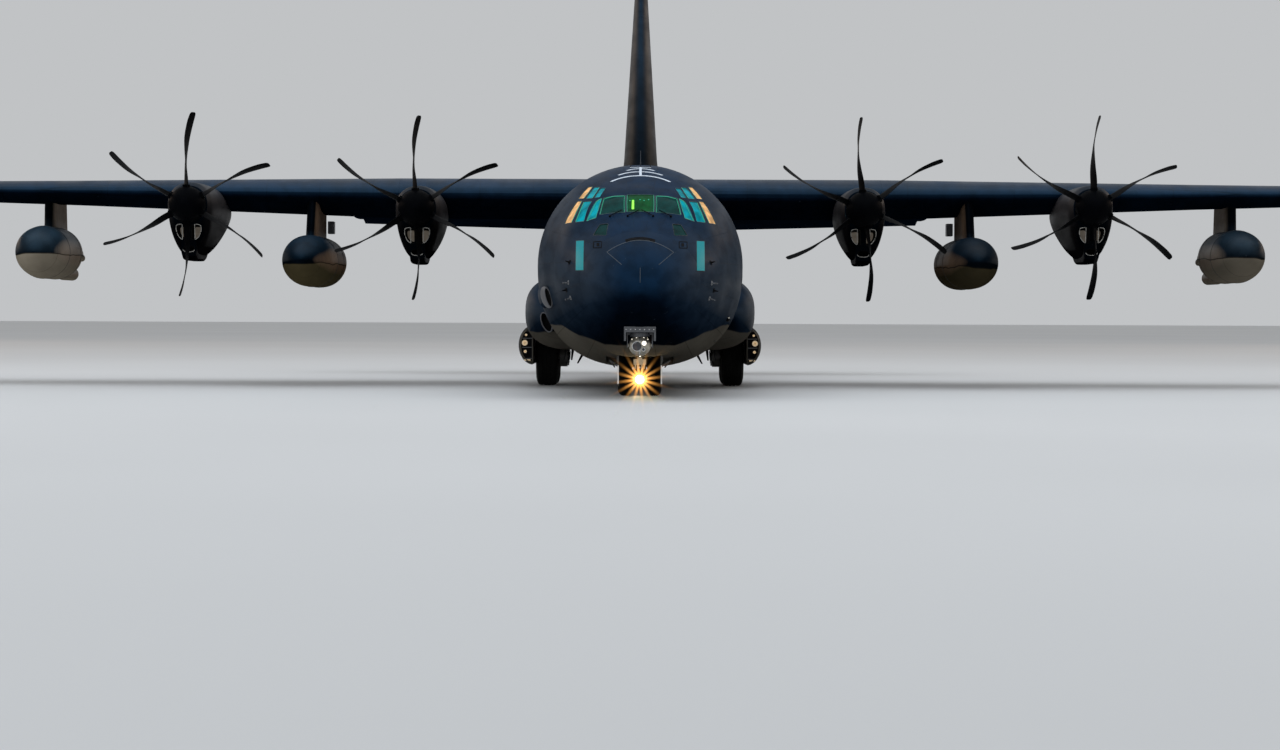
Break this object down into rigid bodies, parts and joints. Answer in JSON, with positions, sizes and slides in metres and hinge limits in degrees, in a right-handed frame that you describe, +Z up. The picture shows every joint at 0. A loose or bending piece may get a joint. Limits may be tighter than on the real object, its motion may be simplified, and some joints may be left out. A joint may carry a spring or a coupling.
{
  "type": "military transport plane, 1:2 scale model",
  "caption": "High-wing turboprop military transport with scimitar propellers, chin sensor turret, underwing tanks and hose pods, rear ramp, moving doors and control surfaces; half size",
  "frame": {"origin": "on the ground under the middle of the bounding box", "axes": "+X to the aircraft's left, +Y aft, +Z up; the nose points to -Y"},
  "size_m": [20.205, 14.895, 5.92],
  "materials": {
    "airframe_paint": "satin dark blue-grey paint, lighter grey below",
    "radome_skin": "satin dark composite",
    "cockpit_glass": "coated green-blue glass",
    "cabin_metal": "matt grey-green",
    "blade_composite": "matt black composite",
    "engine_metal": "bare",
    "gear_metal": "gloss light grey",
    "turret_metal": "satin grey",
    "tyre_rubber": "matt",
    "rim_metal": "satin",
    "bare_metal": "bright worn edge",
    "lamp_glass": "clear lens",
    "strip_light": "teal plastic strip",
    "white_marking": "matt white paint",
    "seal_rubber": "matt"
  },
  "bodies": {
    "airframe": {"forward_fuselage": "airframe_paint", "center_fuselage": "airframe_paint", "aft_fuselage": "airframe_paint", "paratroop_door_left": "airframe_paint", "paratroop_door_right": "airframe_paint", "wing_center": "airframe_paint", "wing_left": "airframe_paint", "wing_right": "airframe_paint", "tailplane": "airframe_paint", "fin": "airframe_paint", "nacelle_outboard_right": "airframe_paint", "nacelle_inboard_right": "airframe_paint", "nacelle_inboard_left": "airframe_paint", "nacelle_outboard_left": "airframe_paint", "sponson_left": "airframe_paint", "sponson_right": "airframe_paint", "fuel_tank_left": "airframe_paint", "fuel_tank_right": "airframe_paint", "refuel_pod_left": "airframe_paint", "refuel_pod_right": "airframe_paint", "main_gear_door_left": "airframe_paint", "main_gear_door_right": "airframe_paint", "nose_gear_door_left": "airframe_paint", "nose_gear_door_right": "airframe_paint", "radome": "radome_skin", "cockpit_glazing": "cockpit_glass", "cargo_floor": "cabin_metal", "flight_deck": "cabin_metal", "engine_outboard_right": "engine_metal", "engine_inboard_right": "engine_metal", "engine_inboard_left": "engine_metal", "engine_outboard_left": "engine_metal", "main_struts_left": "gear_metal", "main_struts_right": "gear_metal", "nose_strut": "gear_metal", "turret_mount": "turret_metal"},
    "propeller_outboard_right": {"propeller_outboard_right": "blade_composite"},
    "propeller_inboard_right": {"propeller_inboard_right": "blade_composite"},
    "propeller_inboard_left": {"propeller_inboard_left": "blade_composite"},
    "propeller_outboard_left": {"propeller_outboard_left": "blade_composite"},
    "nose_fork": {"nose_fork": "gear_metal"},
    "nose_wheels": {"nose_wheels": "tyre_rubber"},
    "main_wheel_front_left": {"main_wheel_front_left": "tyre_rubber"},
    "main_wheel_rear_left": {"main_wheel_rear_left": "tyre_rubber"},
    "main_wheel_front_right": {"main_wheel_front_right": "tyre_rubber"},
    "main_wheel_rear_right": {"main_wheel_rear_right": "tyre_rubber"},
    "rudder": {"rudder": "airframe_paint"},
    "elevator": {"elevator_left": "airframe_paint", "elevator_right": "airframe_paint"},
    "aileron_left": {"aileron_left": "airframe_paint"},
    "aileron_right": {"aileron_right": "airframe_paint"},
    "flap_inboard_left": {"flap_inboard_left": "airframe_paint"},
    "flap_outboard_left": {"flap_outboard_left": "airframe_paint"},
    "flap_inboard_right": {"flap_inboard_right": "airframe_paint"},
    "flap_outboard_right": {"flap_outboard_right": "airframe_paint"},
    "crew_door": {"crew_door": "airframe_paint"},
    "cargo_ramp": {"cargo_ramp": "airframe_paint"},
    "aft_cargo_door": {"aft_cargo_door": "airframe_paint"},
    "turret_yoke": {"turret_yoke": "turret_metal"},
    "turret_ball": {"turret_ball": "turret_metal"}
  },
  "joints": [
    {"name": "propeller_spin_outboard_right", "type": "hinge", "parent": "airframe", "child": "propeller_outboard_right", "pos_m": [-5.08, -2.5975, 2.05], "axis": [0, 1, 0], "continuous": true},
    {"name": "propeller_spin_inboard_right", "type": "hinge", "parent": "airframe", "child": "propeller_inboard_right", "pos_m": [-2.51, -2.5975, 2.02], "axis": [0, 1, 0], "continuous": true},
    {"name": "propeller_spin_inboard_left", "type": "hinge", "parent": "airframe", "child": "propeller_inboard_left", "pos_m": [2.51, -2.5975, 2.02], "axis": [0, 1, 0], "continuous": true},
    {"name": "propeller_spin_outboard_left", "type": "hinge", "parent": "airframe", "child": "propeller_outboard_left", "pos_m": [5.08, -2.5975, 2.05], "axis": [0, 1, 0], "continuous": true},
    {"name": "nose_steering", "type": "hinge", "parent": "airframe", "child": "nose_fork", "pos_m": [0, -5.3925, 0.45], "axis": [0, 0, 1], "range_deg": [-60, 60]},
    {"name": "nose_wheels_spin", "type": "hinge", "parent": "nose_fork", "child": "nose_wheels", "pos_m": [0, -5.3925, 0.24128], "axis": [1, 0, 0], "continuous": true},
    {"name": "main_wheel_front_left_spin", "type": "hinge", "parent": "airframe", "child": "main_wheel_front_left", "pos_m": [1.085, -0.8825, 0.34714], "axis": [1, 0, 0], "continuous": true},
    {"name": "main_wheel_rear_left_spin", "type": "hinge", "parent": "airframe", "child": "main_wheel_rear_left", "pos_m": [1.085, -0.1175, 0.34714], "axis": [1, 0, 0], "continuous": true},
    {"name": "main_wheel_front_right_spin", "type": "hinge", "parent": "airframe", "child": "main_wheel_front_right", "pos_m": [-1.085, -0.8825, 0.34714], "axis": [1, 0, 0], "continuous": true},
    {"name": "main_wheel_rear_right_spin", "type": "hinge", "parent": "airframe", "child": "main_wheel_rear_right", "pos_m": [-1.085, -0.1175, 0.34714], "axis": [1, 0, 0], "continuous": true},
    {"name": "rudder_hinge", "type": "hinge", "parent": "airframe", "child": "rudder", "pos_m": [0, 6.4275, 2.48], "axis": [0, 0.0578, 0.9983], "range_deg": [-35, 35]},
    {"name": "elevator_hinge", "type": "hinge", "parent": "airframe", "child": "elevator", "pos_m": [0, 6.3525, 2.215], "axis": [1, 0, 0], "range_deg": [0, 55]},
    {"name": "aileron_hinge_left", "type": "hinge", "parent": "airframe", "child": "aileron_left", "pos_m": [6.61, 0.14415, 2.2226], "axis": [0.9959, -0.0892, 0.0167], "range_deg": [-20, 20]},
    {"name": "aileron_hinge_right", "type": "hinge", "parent": "airframe", "child": "aileron_right", "pos_m": [-6.61, 0.14415, 2.2226], "axis": [0.9959, 0.0892, -0.0167], "range_deg": [-20, 20]},
    {"name": "flap_inboard_hinge_left", "type": "hinge", "parent": "airframe", "child": "flap_inboard_left", "pos_m": [1.125, 0.3593, 1.96914], "axis": [-1, 0, 0], "range_deg": [0, 36]},
    {"name": "flap_outboard_hinge_left", "type": "hinge", "parent": "airframe", "child": "flap_outboard_left", "pos_m": [2.81, 0.3585, 1.96936], "axis": [-0.9966, 0.08, -0.0212], "range_deg": [0, 36]},
    {"name": "flap_inboard_hinge_right", "type": "hinge", "parent": "airframe", "child": "flap_inboard_right", "pos_m": [-1.125, 0.3593, 1.96914], "axis": [-1, 0, 0], "range_deg": [0, 36]},
    {"name": "flap_outboard_hinge_right", "type": "hinge", "parent": "airframe", "child": "flap_outboard_right", "pos_m": [-2.81, 0.3585, 1.96936], "axis": [-0.9966, -0.08, 0.0212], "range_deg": [0, 36]},
    {"name": "crew_door_hinge", "type": "hinge", "parent": "airframe", "child": "crew_door", "pos_m": [0.815, -4.7675, 0.5575], "axis": [0, 1, 0], "range_deg": [0, 100]},
    {"name": "cargo_ramp_hinge", "type": "hinge", "parent": "airframe", "child": "cargo_ramp", "pos_m": [0, 2.045, 0.395], "axis": [-1, 0, 0], "range_deg": [0, 32]},
    {"name": "aft_cargo_door_hinge", "type": "hinge", "parent": "airframe", "child": "aft_cargo_door", "pos_m": [0, 5.1975, 1.7], "axis": [-1, 0, 0], "range_deg": [0, 30]},
    {"name": "turret_azimuth", "type": "hinge", "parent": "airframe", "child": "turret_yoke", "pos_m": [0, -6.8725, 0.605], "axis": [0, 0, 1], "continuous": true},
    {"name": "turret_elevation", "type": "hinge", "parent": "turret_yoke", "child": "turret_ball", "pos_m": [0, -6.8725, 0.536], "axis": [1, 0, 0], "range_deg": [-20, 90]}
  ],
  "couplings": [
    {"joint": "aileron_hinge_right", "follows": "aileron_hinge_left", "ratio": -1},
    {"joint": "flap_inboard_hinge_right", "follows": "flap_inboard_hinge_left", "ratio": 1},
    {"joint": "flap_outboard_hinge_left", "follows": "flap_inboard_hinge_left", "ratio": 1},
    {"joint": "flap_outboard_hinge_right", "follows": "flap_inboard_hinge_left", "ratio": 1}
  ]
}
